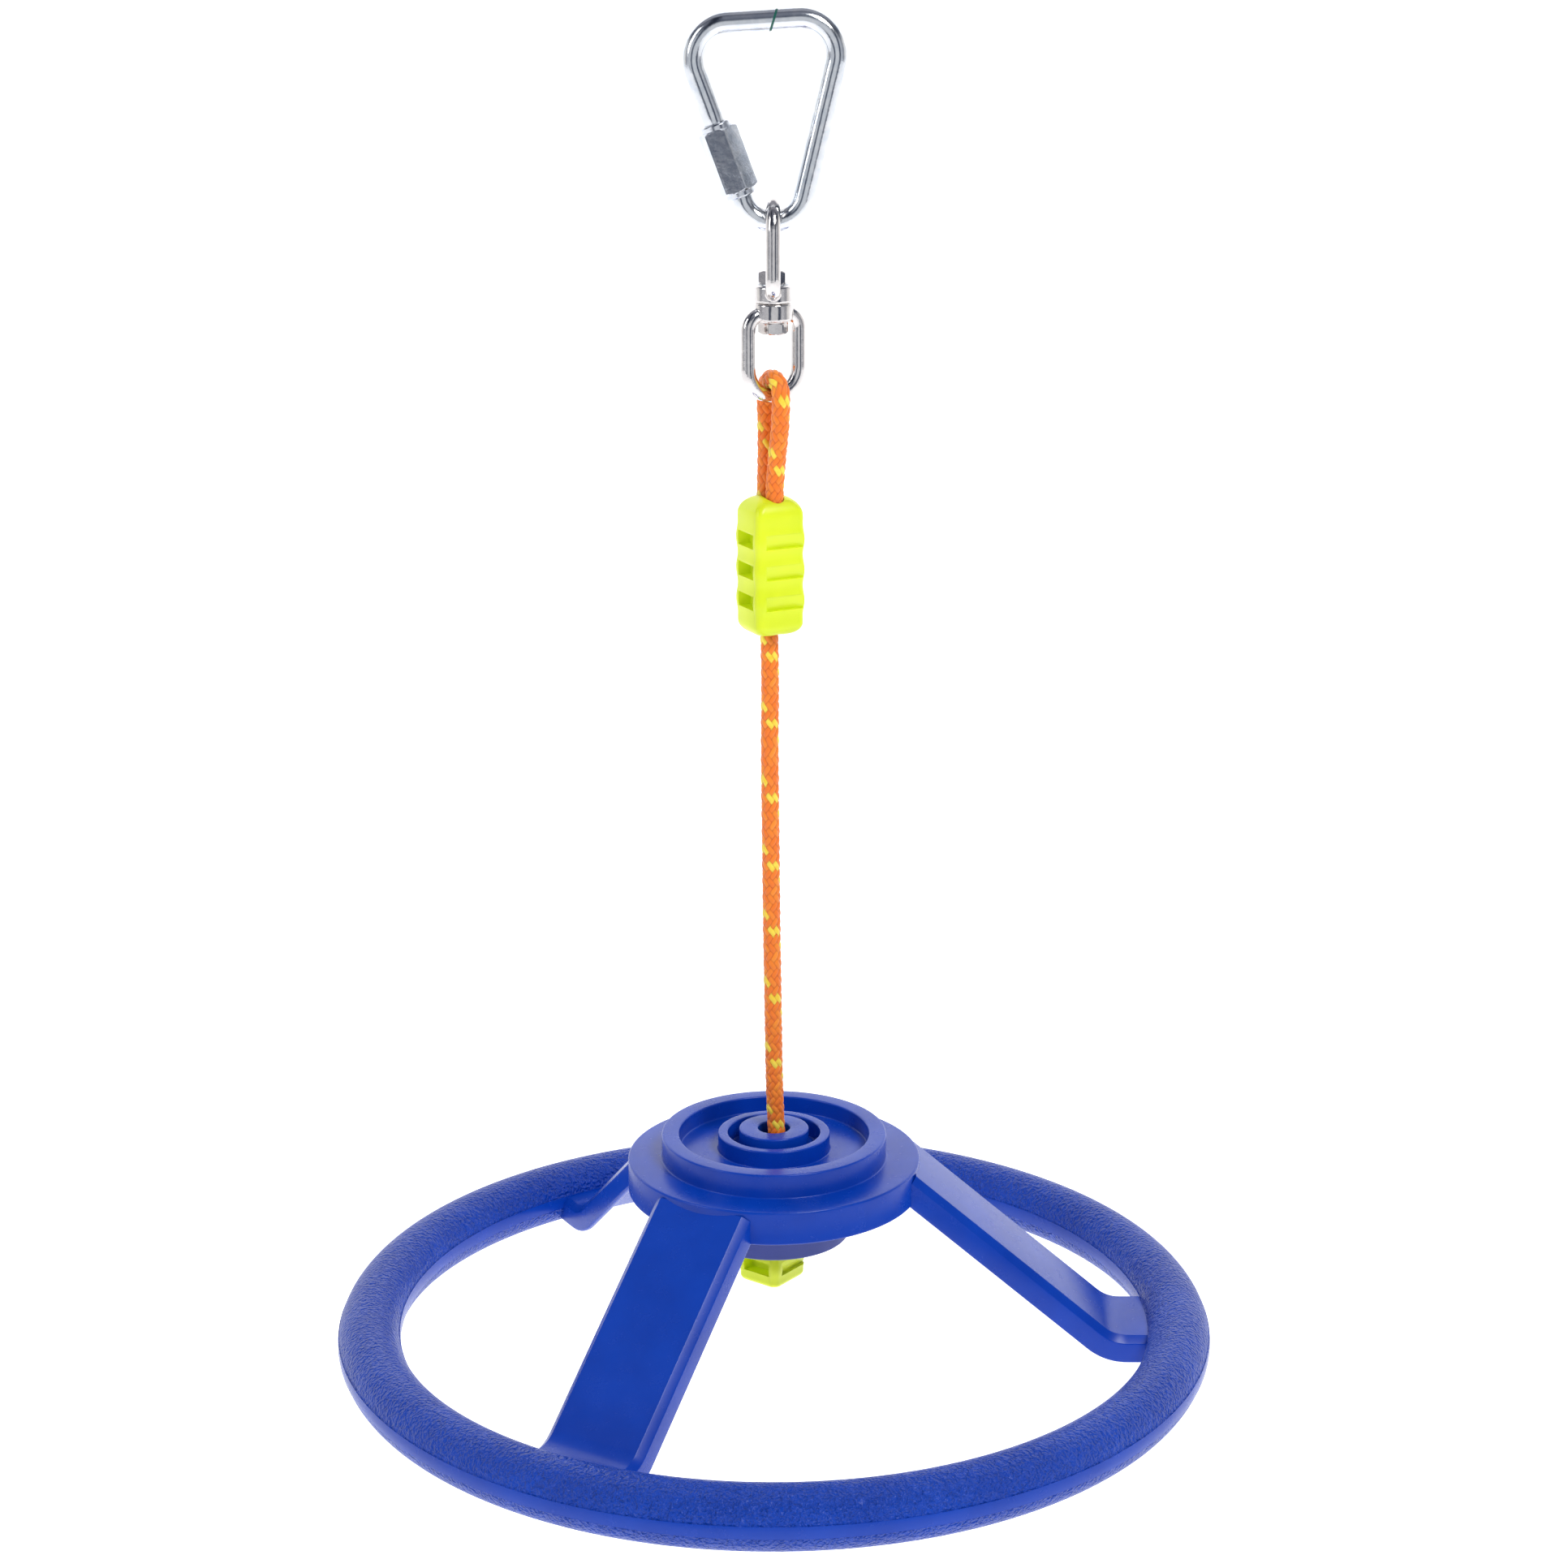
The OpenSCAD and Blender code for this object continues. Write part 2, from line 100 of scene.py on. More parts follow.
def shade(obj, smooth=True, sharp_deg=None):
    mesh = obj.data
    bm = bmesh.new()
    bm.from_mesh(mesh)
    bmesh.ops.recalc_face_normals(bm, faces=bm.faces)
    for face in bm.faces:
        face.smooth = smooth
    if sharp_deg is not None:
        for edge in bm.edges:
            if len(edge.link_faces) == 2:
                edge.smooth = edge.calc_face_angle(0) < math.radians(sharp_deg)
    bm.to_mesh(mesh)
    bm.free()


def join(name, objects):
    """One object from several, with their meshes side by side."""
    bm = bmesh.new()
    for obj in objects:
        bm.from_mesh(obj.data)
        bpy.data.objects.remove(obj)
    mesh = bpy.data.meshes.new(name)
    bm.to_mesh(mesh)
    bm.free()
    joined = bpy.data.objects.new(name, mesh)
    bpy.context.scene.collection.objects.link(joined)
    return joined


def apply_modifiers(obj):
    graph = bpy.context.evaluated_depsgraph_get()
    mesh = bpy.data.meshes.new_from_object(obj.evaluated_get(graph))
    obj.modifiers.clear()
    obj.data = mesh


def frames_along(points):
    """Two unit vectors square to the path at each point, carried along without twist."""
    tangents = []
    for i in range(len(points)):
        a = points[max(i - 1, 0)]
        b = points[min(i + 1, len(points) - 1)]
        tangents.append((b - a).normalized())
    start = Vector((0, 1, 0)) if abs(tangents[0].y) < 0.9 else Vector((1, 0, 0))
    u = (start - start.dot(tangents[0]) * tangents[0]).normalized()
    result = []
    for t in tangents:
        u = (u - u.dot(t) * t).normalized()
        result.append((u, t.cross(u)))
    return result


def sweep(name, points, radius, sides=32, sharp_deg=None):
    """A round bar along a path. radius is a number, or a function of the ring's index and angle."""
    points = [Vector(p) for p in points]
    vertices, faces = [], []
    n = len(points)
    for i, (u, v) in enumerate(frames_along(points)):
        for k in range(sides):
            a = 2 * math.pi * k / sides
            r = radius(i, a) if callable(radius) else radius
            vertices.append(points[i] + r * (math.cos(a) * u + math.sin(a) * v))
    for i in range(n - 1):
        for k in range(sides):
            m = (k + 1) % sides
            faces.append((i * sides + k, i * sides + m, (i + 1) * sides + m, (i + 1) * sides + k))
    faces.append(tuple(range(sides)))
    faces.append(tuple((n - 1) * sides + k for k in reversed(range(sides))))
    return add_object(name, vertices, faces, True, sharp_deg)


def fillet(corners, closed=True, steps=5):
    """Rounds the corners of a line of [x, y, radius] points."""
    out = []
    n = len(corners)
    for i, (x, y, r) in enumerate(corners):
        here = Vector((x, y))
        if r <= 0 or (not closed and i in (0, n - 1)):
            out.append((x, y))
            continue
        before = Vector(corners[i - 1][:2]) - here
        after = Vector(corners[(i + 1) % n][:2]) - here
        half = before.angle(after) / 2
        reach = min(r / math.tan(half), 0.49 * before.length, 0.49 * after.length)
        p, q = here + before.normalized() * reach, here + after.normalized() * reach
        for s in range(steps + 1):
            t = s / steps
            out.append(tuple((1 - t) ** 2 * p + 2 * t * (1 - t) * here + t ** 2 * q))
    return out


def lathe(name, profile, centre=(0, 0), z0=0.0, segments=192, sharp_deg=None):
    """A closed profile of (radius, height) points turned about an upright axis."""
    n = len(profile)
    vertices, faces = [], []
    for s in range(segments):
        a = 2 * math.pi * s / segments
        for r, z in profile:
            vertices.append((centre[0] + r * math.cos(a), centre[1] + r * math.sin(a), z + z0))
    for s in range(segments):
        t = (s + 1) % segments
        for i in range(n):
            j = (i + 1) % n
            faces.append((s * n + i, s * n + j, t * n + j, t * n + i))
    obj = add_object(name, vertices, faces, True, sharp_deg)
    bm = bmesh.new()
    bm.from_mesh(obj.data)
    bmesh.ops.remove_doubles(bm, verts=bm.verts, dist=1e-7)
    bm.to_mesh(obj.data)
    bm.free()
    shade(obj, True, sharp_deg)
    return obj


def hex_part(name, across_flats, height, bore_r, bevel=0.9, turn=0.0, samples=144):
    """A hexagonal head, nut or sleeve with the rounded chamfers that turning leaves at both ends."""
    flat = across_flats / 2
    corner = flat / math.cos(math.pi / 6)

    def outline(a):
        b = (a - turn) % (math.pi / 3) - math.pi / 6
        return flat / math.cos(b)

    slope = math.tan(math.radians(30))
    drop = (corner - flat) * slope
    rings = []
    for k in range(7):
        t = k / 6
        rings.append((t * (drop + bevel * 0.5), flat - bevel * 0.35 + t * (corner - flat + bevel * 0.35)))
    heights = rings + [(height - z, cap) for z, cap in reversed(rings)]
    vertices, faces = [], []
    for z, cap in heights:
        for s in range(samples):
            a = 2 * math.pi * s / samples
            r = min(outline(a), cap)
            vertices.append((r * math.cos(a), r * math.sin(a), z))
    count = len(heights)
    for z in (height, 0.0):
        for s in range(samples):
            a = 2 * math.pi * s / samples
            vertices.append((bore_r * math.cos(a), bore_r * math.sin(a), z))
    loops = count + 2
    for i in range(loops):
        j = (i + 1) % loops
        for s in range(samples):
            t = (s + 1) % samples
            faces.append((i * samples + s, i * samples + t, j * samples + t, j * samples + s))
    return add_object(name, vertices, faces, True, 25)


def transform(obj, matrix):
    """Moves a mesh by a matrix whose shift is in millimetres."""
    m = matrix.copy()
    m.translation = m.translation * MM
    obj.data.transform(m)
    obj.data.update()
    return obj


def union_remesh(name, objects, voxel, smooth_steps=0):
    """Grows several solids into one skin, as forging or casting does."""
    obj = join(name, objects)
    remesh = obj.modifiers.new("remesh", "REMESH")
    remesh.mode = "VOXEL"
    remesh.voxel_size = voxel * MM
    if smooth_steps:
        relax = obj.modifiers.new("relax", "SMOOTH")
        relax.factor = 0.5
        relax.iterations = smooth_steps
    apply_modifiers(obj)
    shade(obj, True)
    return obj


# --------------------------------------------------------------------------------------------------
# Material helpers
# --------------------------------------------------------------------------------------------------
def new_material(name):
    material = bpy.data.materials.new(name)
    material.use_nodes = True
    nodes = material.node_tree.nodes
    return material, nodes, material.node_tree.links, nodes["Principled BSDF"]


def noise(nodes, links, coords, scale, detail=4.0, roughness=0.5, stretch=None):
    node = nodes.new("ShaderNodeTexNoise")
    node.inputs["Scale"].default_value = scale
    node.inputs["Detail"].default_value = detail
    node.inputs["Roughness"].default_value = roughness
    if stretch is None:
        links.new(coords, node.inputs["Vector"])
    else:
        mapping = nodes.new("ShaderNodeMapping")
        mapping.inputs["Scale"].default_value = stretch
        links.new(coords, mapping.inputs["Vector"])
        links.new(mapping.outputs["Vector"], node.inputs["Vector"])
    return node.outputs["Fac"]


def ramp(nodes, links, value, stops):
    node = nodes.new("ShaderNodeValToRGB")
    elements = node.color_ramp.elements
    while len(elements) < len(stops):
        elements.new(0.5)
    for element, (at, colour) in zip(elements, stops):
        element.position = at
        element.color = (*colour, 1) if len(colour) == 3 else colour
    links.new(value, node.inputs["Fac"])
    return node.outputs["Color"]


def spread(nodes, links, value, low, high):
    node = nodes.new("ShaderNodeMapRange")
    node.inputs["To Min"].default_value = low
    node.inputs["To Max"].default_value = high
    links.new(value, node.inputs["Value"])
    return node.outputs["Result"]


def add_bump(nodes, links, shader, height, strength, distance, before=None):
    node = nodes.new("ShaderNodeBump")
    node.inputs["Strength"].default_value = strength
    node.inputs["Distance"].default_value = distance
    links.new(height, node.inputs["Height"])
    if before is not None:
        links.new(before, node.inputs["Normal"])
    links.new(node.outputs["Normal"], shader.inputs["Normal"])
    return node.outputs["Normal"]


def object_coords(nodes):
    return nodes.new("ShaderNodeTexCoord").outputs["Object"]


def plastic(name, dark, light, rough_low, rough_high, grain=None, subsurface=0.0, fine=0.02, specular=0.5):
    """Moulded plastic: faint flow clouds in its colour, haze in its gloss, and an uneven skin."""
    material, nodes, links, shader = new_material(name)
    coords = object_coords(nodes)
    cloud = noise(nodes, links, coords, 45.0, 3.0)
    links.new(ramp(nodes, links, cloud, [(0.3, dark), (0.7, light)]), shader.inputs["Base Color"])
    haze = noise(nodes, links, coords, 160.0, 5.0, 0.6)
    links.new(spread(nodes, links, haze, rough_low, rough_high), shader.inputs["Roughness"])
    shader.inputs["IOR"].default_value = 1.5
    shader.inputs["Specular IOR Level"].default_value = specular
    if subsurface:
        shader.inputs["Subsurface Weight"].default_value = subsurface
        shader.inputs["Subsurface Radius"].default_value = (0.004, 0.004, 0.001)
        shader.inputs["Subsurface Scale"].default_value = 1.0
    wave = noise(nodes, links, coords, 28.0, 2.0)
    normal = add_bump(nodes, links, shader, wave, 0.12, 0.0006)
    if grain is not None:
        pebble = nodes.new("ShaderNodeTexVoronoi")
        pebble.feature = "SMOOTH_F1"
        pebble.inputs["Scale"].default_value = grain
        pebble.inputs["Smoothness"].default_value = 0.6
        warp = nodes.new("ShaderNodeTexNoise")
        warp.inputs["Scale"].default_value = grain * 0.45
        warp.inputs["Detail"].default_value = 3.0
        links.new(coords, warp.inputs["Vector"])
        mix = nodes.new("ShaderNodeMix")
        mix.data_type = "VECTOR"
        mix.inputs["Factor"].default_value = 0.004
        links.new(coords, mix.inputs["A"])
        links.new(warp.outputs["Color"], mix.inputs["B"])
        links.new(mix.outputs["Result"], pebble.inputs["Vector"])
        normal = add_bump(nodes, links, shader, pebble.outputs["Distance"], 1.0, 0.0013, normal)
    speck = noise(nodes, links, coords, 900.0, 2.0)
    add_bump(nodes, links, shader, speck, fine, 0.0002, normal)
    return material


def steel(name, tint_low, tint_high, rough_low, rough_high, brushed=None):
    """Plated or polished steel: cloudy tint from the plating, fine polishing marks and small dents."""
    material, nodes, links, shader = new_material(name)
    coords = object_coords(nodes)
    shader.inputs["Metallic"].default_value = 1.0
    cloud = noise(nodes, links, coords, 220.0, 4.0, 0.6)
    links.new(ramp(nodes, links, cloud, [(0.3, tint_low), (0.7, tint_high)]), shader.inputs["Base Color"])
    haze = noise(nodes, links, coords, 700.0, 6.0, 0.7, brushed)
    links.new(spread(nodes, links, haze, rough_low, rough_high), shader.inputs["Roughness"])
    dents = noise(nodes, links, coords, 260.0, 3.0)
    normal = add_bump(nodes, links, shader, dents, 0.22, 0.0003)
    marks = noise(nodes, links, coords, 1500.0, 3.0, 0.6, brushed)
    add_bump(nodes, links, shader, marks, 0.08, 0.0001, normal)
    return material


blue_gloss = plastic("blue_gloss", (0.0010, 0.043, 0.39), (0.0020, 0.054, 0.46), 0.20, 0.32, specular=0.3)
blue_socket = plastic("blue_socket", (0.050, 0.075, 0.30), (0.068, 0.092, 0.35), 0.45, 0.58)
blue_grain = plastic("blue_grain", (0.0010, 0.044, 0.40), (0.0020, 0.056, 0.47), 0.28, 0.40,
                     grain=720.0, specular=0.3)
lime = plastic("lime", (0.72, 0.86, 0.006), (0.80, 0.92, 0.014), 0.30, 0.42, subsurface=0.25)
zinc_marked = steel("zinc_marked", (0.60, 0.64, 0.69), (0.78, 0.79, 0.80), 0.10, 0.22)
zinc = steel("zinc", (0.58, 0.62, 0.68), (0.76, 0.77, 0.79), 0.12, 0.26)
stainless = steel("stainless", (0.64, 0.61, 0.60), (0.78, 0.75, 0.73), 0.07, 0.18)
race_steel = steel("race_steel", (0.62, 0.64, 0.67), (0.74, 0.75, 0.77), 0.16, 0.28)


def paint_line(material, across, lean, half_width, colour):
    """A thin line of paint across the link's top bar. lean is how far it slants in X for each metre of Z."""
    nodes, links = material.node_tree.nodes, material.node_tree.links
    shader = nodes["Principled BSDF"]

    def math_node(operation, first, second):
        node = nodes.new("ShaderNodeMath")
        node.operation = operation
        for socket, value in zip(node.inputs, (first, second)):
            if isinstance(value, float):
                socket.default_value = value
            else:
                links.new(value, socket)
        return node.outputs["Value"]

    axes = nodes.new("ShaderNodeSeparateXYZ")
    links.new(object_coords(nodes), axes.inputs["Vector"])
    slant = math_node("MULTIPLY", axes.outputs["Z"], lean)
    away = math_node("SUBTRACT", math_node("SUBTRACT", axes.outputs["X"], across), slant)
    inside = math_node("LESS_THAN", math_node("ABSOLUTE", away, 0.0), half_width)
    on_top_bar = math_node("GREATER_THAN", axes.outputs["Z"], -0.002)
    mask = math_node("MULTIPLY", inside, on_top_bar)
    tint = nodes.new("ShaderNodeMix")
    tint.data_type = "RGBA"
    links.new(mask, tint.inputs["Factor"])
    links.new(shader.inputs["Base Color"].links[0].from_socket, tint.inputs["A"])
    tint.inputs["B"].default_value = (*colour, 1)
    links.new(tint.outputs["Result"], shader.inputs["Base Color"])
    links.new(math_node("SUBTRACT", 1.0, mask), shader.inputs["Metallic"])


paint_line(zinc_marked, -0.001, 0.3, 0.00045, (0.013, 0.10, 0.075))


def finish_piece(obj, body, replaced, slot, *materials):
    if materials:
        obj.data.materials.clear()
        for material in materials:
            obj.data.materials.append(material)
    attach(obj, body)
    if replaced:
        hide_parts(*replaced)
    return obj


# --------------------------------------------------------------------------------------------------
# Rope
# --------------------------------------------------------------------------------------------------
def along(turn, s, z, centre=(0.0, 0.0)):
    """The point a distance s to one side of a centre, in an upright plane turned about Z."""
    return (centre[0] - math.sin(turn) * s, centre[1] + math.cos(turn) * s, z)


LOOP_R = EYE_BAR_R + ROPE_R + 0.1


def upper(s, z):
    """A point on the loop's legs, which shift over to the upper connector's middle on their way down."""
    lean = max(0.0, min(1.0, (LEG_TOP_Z - z) / (LEG_TOP_Z - LEG_LOW_Z)))
    return along(EYE_TURN, s, z, (UPPER_CENTRE[0] * lean, UPPER_CENTRE[1] * lean))


def lower(s, z):
    return along(LOWER_TURN, s, z, LOWER_CENTRE)


rope_route = [upper(-LEG_SPREAD, z) for z in (-204, -195, -182, -170)]
rope_route += [upper(-4.3, -156), upper(-5.7, -143)]
for step in range(9):
    a = math.pi - step * math.pi / 8
    rope_route.append(upper(LOOP_R * math.cos(a), LOWER_BAR_Z + LOOP_R * math.sin(a)))
rope_route += [upper(5.7, -143), upper(4.3, -156)]
rope_route += [upper(LEG_SPREAD, z) for z in (-170, -182, -195, -206)]
rope_route += [
    (-2.0, 2.4, -217), (-1.5, 1.4, -229), (-1.3, 0.6, -244), (-1.4, 0, -262), (-1.4, 0, -280),
    (-1.2, 0, -300), (-1.0, 0, -320), (-0.8, 0, -340), (-0.5, 0, -360), (-0.2, 0, -380),
    (0.1, 0, -400), (0.6, -0.2, -418), (1.3, -0.7, -432),
]
rope_route += [lower(-LEG_SPREAD, z) for z in (-445, -458, -470, -477)]
rope_route += [lower(-2.5, -479.6), lower(0, -480.6), lower(2.5, -479.6)]
rope_route += [lower(LEG_SPREAD, z) for z in (-477, -470, -458, -447)]


def smooth_path(route, spacing):
    """Points at an even spacing on a smooth line through the route's points."""
    points = [Vector(p) for p in route]
    dense = []
    for i in range(len(points) - 1):
        p0, p1 = points[max(i - 1, 0)], points[i]
        p2, p3 = points[i + 1], points[min(i + 2, len(points) - 1)]
        d = (p2 - p1).length
        m1 = (p2 - p0) * (d / max((p2 - p0).length, 1e-6))
        m2 = (p3 - p1) * (d / max((p3 - p1).length, 1e-6))
        steps = max(2, int(d / 0.1))
        for s in range(steps):
            t = s / steps
            t2, t3 = t * t, t * t * t
            dense.append((2 * t3 - 3 * t2 + 1) * p1 + (t3 - 2 * t2 + t) * m1
                         + (3 * t2 - 2 * t3) * p2 + (t3 - t2) * m2)
    dense.append(points[-1])
    out, carried = [dense[0]], 0.0
    for a, b in zip(dense, dense[1:]):
        carried += (b - a).length
        if carried >= spacing:
            out.append(b)
            carried = 0.0
    return out


BRAID_STRANDS = 8          # strands each way round
BRAID_PITCH = 3.25         # mm along the rope from strand to strand
BRAID_HEIGHT = 0.42
BRAID_STEP = 0.3
BRAID_SIDES = 80
FLECK_STRANDS = ((0, 1), ())     # yellow strands in each family

rope_points = smooth_path(rope_route, BRAID_STEP)


def braid_cell(i, angle):
    """Which strand shows at a place on the rope, and how high it stands there: a two over two under braid."""
    s = i * BRAID_STEP / BRAID_PITCH
    turn = BRAID_STRANDS * angle / (2 * math.pi)
    a, b = turn + s, turn - s
    ia, ib = math.floor(a), math.floor(b)
    fa, fb = a - ia, b - ib
    k = (ia - ib) % 4
    if k < 2:
        cross, run, strand = fa, (k + 1 - fb) / 2, ia % BRAID_STRANDS
        family = 0
    else:
        cross, run, strand = fb, (k - 2 + fa) / 2, ib % BRAID_STRANDS
        family = 1
    crown = (1 - (2 * cross - 1) ** 2) ** 0.6 * max(math.sin(math.pi * run), 0.0) ** 0.45
    return crown, strand, family


def rope_radius(i, angle):
    return ROPE_R - BRAID_HEIGHT + BRAID_HEIGHT * 1.1 * braid_cell(i, angle)[0]


rope = sweep("braided_rope", rope_points, rope_radius, BRAID_SIDES)
fleck = rope.data.attributes.new("fleck", "FLOAT", "POINT")
crown_attr = rope.data.attributes.new("crown", "FLOAT", "POINT")
rng = random.Random(7)
shade_of = [[rng.random() for _ in range(BRAID_STRANDS)] for _ in range(2)]
strand_attr = rope.data.attributes.new("strand", "FLOAT", "POINT")
flecks, crowns, strands = [], [], []
for i in range(len(rope_points)):
    for k in range(BRAID_SIDES):
        crown, strand, family = braid_cell(i, 2 * math.pi * k / BRAID_SIDES)
        flecks.append(1.0 if strand in FLECK_STRANDS[family] else 0.0)
        crowns.append(crown)
        strands.append(shade_of[family][strand])
fleck.data.foreach_set("value", flecks)
crown_attr.data.foreach_set("value", crowns)
strand_attr.data.foreach_set("value", strands)


def rope_material():
    material, nodes, links, shader = new_material("rope_braid")

    def attribute(name):
        node = nodes.new("ShaderNodeAttribute")
        node.attribute_name = name
        return node.outputs["Fac"]

    coords = object_coords(nodes)
    orange = ramp(nodes, links, attribute("strand"), [(0.0, (0.93, 0.19, 0.006)), (1.0, (1.0, 0.30, 0.015))])
    dye = noise(nodes, links, coords, 500.0)
    yellow = ramp(nodes, links, dye, [(0.3, (0.98, 0.62, 0.02)), (0.7, (1.0, 0.80, 0.08))])
    pick = nodes.new("ShaderNodeMix")
    pick.data_type = "RGBA"
    is_fleck = ramp(nodes, links, attribute("fleck"), [(0.45, (0, 0, 0)), (0.55, (1, 1, 1))])
    links.new(is_fleck, pick.inputs["Factor"])
    links.new(orange, pick.inputs["A"])
    links.new(yellow, pick.inputs["B"])
    # Painted shade: the colour is darkened and turned redder in the low places between the strands' crowns
    shadow = nodes.new("ShaderNodeMix")
    shadow.data_type = "RGBA"
    shadow.blend_type = "MULTIPLY"
    shadow.inputs["Factor"].default_value = 0.75
    links.new(pick.outputs["Result"], shadow.inputs["A"])
    painted_crease_shade = ramp(nodes, links, attribute("crown"), [(0.0, (0.55, 0.30, 0.20)), (0.55, (1, 1, 1))])
    links.new(painted_crease_shade, shadow.inputs["B"])
    links.new(shadow.outputs["Result"], shader.inputs["Base Color"])
    shader.inputs["Roughness"].default_value = 0.5
    shader.inputs["Sheen Weight"].default_value = 0.25
    shader.inputs["Sheen Roughness"].default_value = 0.4
    fibre = noise(nodes, links, coords, 4200.0, 3.0, 0.7)
    add_bump(nodes, links, shader, fibre, 0.35, 0.0002)
    return material


finish_piece(rope, "rope_and_connectors", ["rope"], "rope_orange", rope_material())


# --------------------------------------------------------------------------------------------------
# Quick link and its sleeve nut
# --------------------------------------------------------------------------------------------------
def arc(centre, radius, start, end, steps):
    out = []
    for s in range(steps + 1):
        a = math.radians(start + (end - start) * s / steps)
        out.append((centre[0] + radius * math.cos(a), centre[1] + radius * math.sin(a)))
    return out


def in_link(x, z, y=0.0):
    c, s = math.cos(LINK_LEAN), math.sin(LINK_LEAN)
    return (x * c - z * s, y, x * s + z * c + LINK_PIVOT_Z)


SLEEVE_LENGTH, SLEEVE_TRAVEL = 28.0, 19.6
SLEEVE_AF, SLEEVE_BORE_R, SLEEVE_COLLAR_H = 13.0, 4.05, 2.0
GAP_LEAD, GAP = 10.0, 10.0       # from the sleeve's lower end to the gap, and the gap itself
THREAD_REACH, THREAD_PITCH, THREAD_DEPTH = 7.5, 1.25, 0.45
THREAD_TIP_R, THREAD_STEPS = 2.8, 25

tilt_deg = math.degrees(LEG_TILT)
foot = Vector((-LINK_BEND_R * math.cos(LEG_TILT), -LINK_BEND_R * math.sin(LEG_TILT)))
head = Vector((-LINK_CORNER[0] - LINK_CORNER_R * math.cos(LEG_TILT),
               LINK_CORNER[1] - LINK_CORNER_R * math.sin(LEG_TILT)))
leg_length = (head - foot).length
leg_way = (head - foot).normalized()
sleeve_start = leg_length - SLEEVE_LENGTH - SLEEVE_TRAVEL
gap_start = sleeve_start + GAP_LEAD
gap_end = gap_start + GAP

profile_2d = []
radii = []


def add_stretch(points, radius=LINK_BAR_R):
    for p in points:
        profile_2d.append(tuple(p))
        radii.append(radius)


add_stretch([foot + leg_way * gap_end], THREAD_TIP_R)
for step in range(THREAD_STEPS):
    at = gap_end + 0.5 + step * THREAD_REACH / THREAD_STEPS
    depth = THREAD_DEPTH * (0.5 - 0.5 * math.cos(2 * math.pi * (at - gap_end) / THREAD_PITCH))
    add_stretch([foot + leg_way * at], LINK_BAR_R - depth)
for at in (8.2, 11, 14, 17):
    add_stretch([foot + leg_way * (gap_end + at)])
add_stretch(arc((-LINK_CORNER[0], LINK_CORNER[1]), LINK_CORNER_R, 180 + tilt_deg, 90, 28))
add_stretch([(x, LINK_TOP_Z) for x in (-6, 0, 6)])
add_stretch(arc(LINK_CORNER, LINK_CORNER_R, 90, -tilt_deg, 28))
add_stretch([Vector((-foot.x - leg_way.x * at, foot.y + leg_way.y * at)) for at in (40, 30, 20, 10)])
add_stretch(arc((0, 0), LINK_BEND_R, 360 - tilt_deg, 180 + tilt_deg, 32))
for step in range(THREAD_STEPS):
    at = gap_start - THREAD_REACH + step * (THREAD_REACH - 0.5) / (THREAD_STEPS - 1)
    depth = THREAD_DEPTH * (0.5 - 0.5 * math.cos(2 * math.pi * (gap_start - at) / THREAD_PITCH))
    add_stretch([foot + leg_way * at], LINK_BAR_R - depth)
add_stretch([foot + leg_way * gap_start], THREAD_TIP_R)

link = sweep("quick_link_bar", [in_link(x, z) for x, z in profile_2d], lambda i, a: radii[i], 48, 40)
finish_piece(link, "link", ["link_body"], "zinc_steel", zinc_marked)

lean_total = LEG_TILT + LINK_LEAN
sleeve_base = in_link(*(foot + leg_way * sleeve_start))
sleeve_place = Matrix.Translation(Vector(sleeve_base)) @ Matrix.Rotation(-lean_total, 4, "Y")
sleeve_body = hex_part("sleeve_hex", SLEEVE_AF, SLEEVE_LENGTH - 2 * SLEEVE_COLLAR_H, SLEEVE_BORE_R,
                       bevel=0.8, turn=math.radians(-10))
sleeve_body.data.transform(Matrix.Translation((0, 0, SLEEVE_COLLAR_H * MM)))
collar_profile = fillet([(SLEEVE_BORE_R, 0, 0), (5.3, 0, 0.3), (5.7, 0.5, 0.3), (5.7, 2.4, 0),
                         (SLEEVE_BORE_R, 2.4, 0)])
collar_low = lathe("sleeve_collar_low", collar_profile, segments=96, sharp_deg=35)
collar_high = lathe("sleeve_collar_high", [(r, SLEEVE_LENGTH - z) for r, z in collar_profile],
                    segments=96, sharp_deg=35)
sleeve = join("sleeve_nut", [sleeve_body, collar_low, collar_high])
transform(sleeve, sleeve_place)
finish_piece(sleeve, "sleeve_nut", ["link_sleeve_nut"], "zinc_steel", zinc)


# --------------------------------------------------------------------------------------------------
# Swivel
# --------------------------------------------------------------------------------------------------
def eye_points(bend_z, shoulder_z, sign):
    """One eye's bar in its own XZ plane, from inside the housing round and back.

    sign is 1 for an eye that stands above its housing, and -1 for one that hangs below it.
    """
    shoulder_r = 6.0
    inner = EYE_R - shoulder_r
    points = [(1.5, 0, shoulder_z - sign * shoulder_r)]
    for s in range(11):
        a = math.radians(-90 + 9 * s)
        points.append((inner + shoulder_r * math.cos(a), 0, shoulder_z + sign * shoulder_r * math.sin(a)))
    for s in range(1, 5):
        points.append((EYE_R, 0, shoulder_z + (bend_z - shoulder_z) * s / 5))
    for s in range(33):
        a = math.pi * s / 32
        points.append((EYE_R * math.cos(a), 0, bend_z + sign * EYE_R * math.sin(a)))
    mirrored = [(-x, y, z) for x, y, z in points[:15]]
    return points + mirrored[::-1]


def build_eye(name, bend_z, shoulder_z, sign, housing, turn):
    bar = sweep(name + "_bar", eye_points(bend_z, shoulder_z, sign), EYE_BAR_R, 40)
    body = lathe(name + "_body", housing, segments=128)
    eye = union_remesh(name, [bar, body], 0.28, 2)
    transform(eye, Matrix.Rotation(turn, 4, "Z"))
    return eye


BOLT_AF, HEAD_H, NUT_H, SHANK_R, NECK_H = 10.0, 4.5, 5.0, 3.0, 6.9

